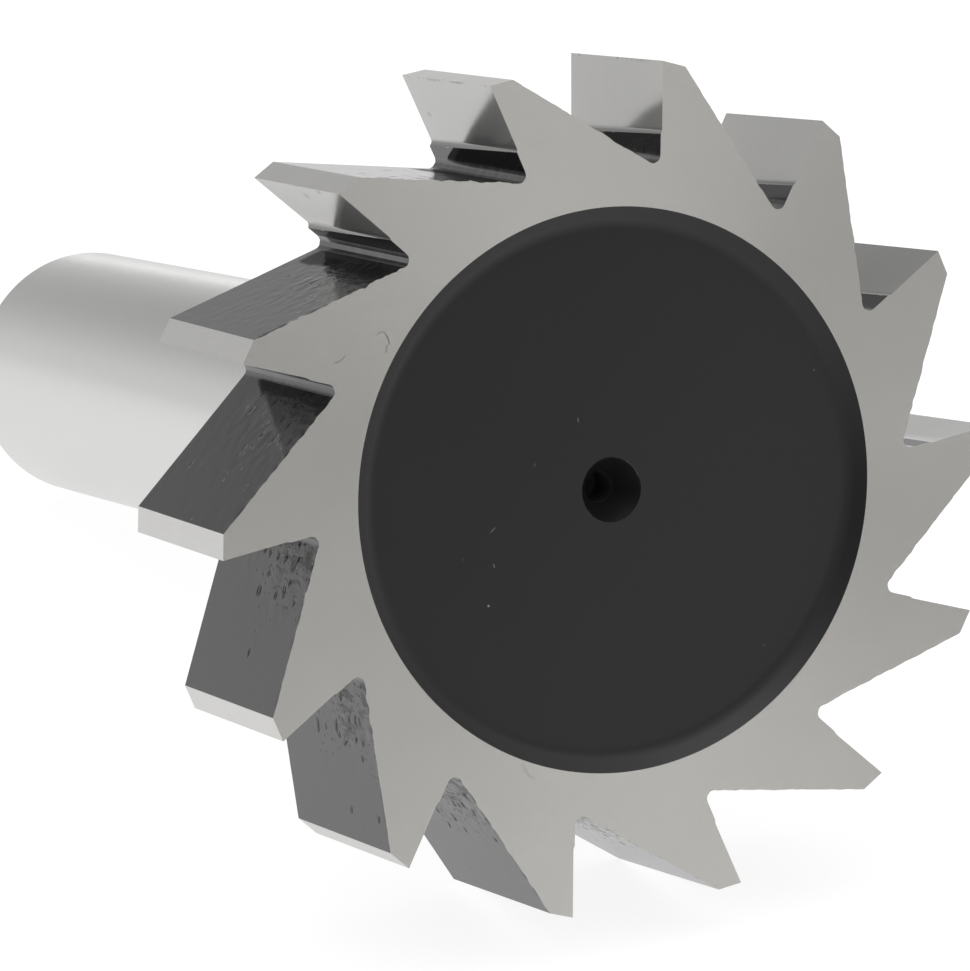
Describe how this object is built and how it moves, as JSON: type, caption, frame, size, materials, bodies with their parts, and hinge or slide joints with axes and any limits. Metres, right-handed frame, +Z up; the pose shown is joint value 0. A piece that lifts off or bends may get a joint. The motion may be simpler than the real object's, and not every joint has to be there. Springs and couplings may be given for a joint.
{
  "type": "woodruff keyseat cutter",
  "caption": "Toothed disc cutter with a shallow blackened recess in each face on a plain round shank, lying at rest on its teeth and the rim of its shank end.",
  "frame": {"origin": "centre of the bounding box in plan, at the floor the cutter lies on", "axes": "the toothed front face looks towards -Y and slightly up, the shank runs back towards +Y and dips to the floor, +Z is up"},
  "size_m": [0.0382, 0.0664, 0.0385],
  "materials": {
    "tool_steel": "bright ground high-speed steel; recess floors, neck and gullet roots left black from heat treatment"
  },
  "bodies": {
    "root": {"keyseat_cutter": "tool_steel"}
  },
  "joints": []
}
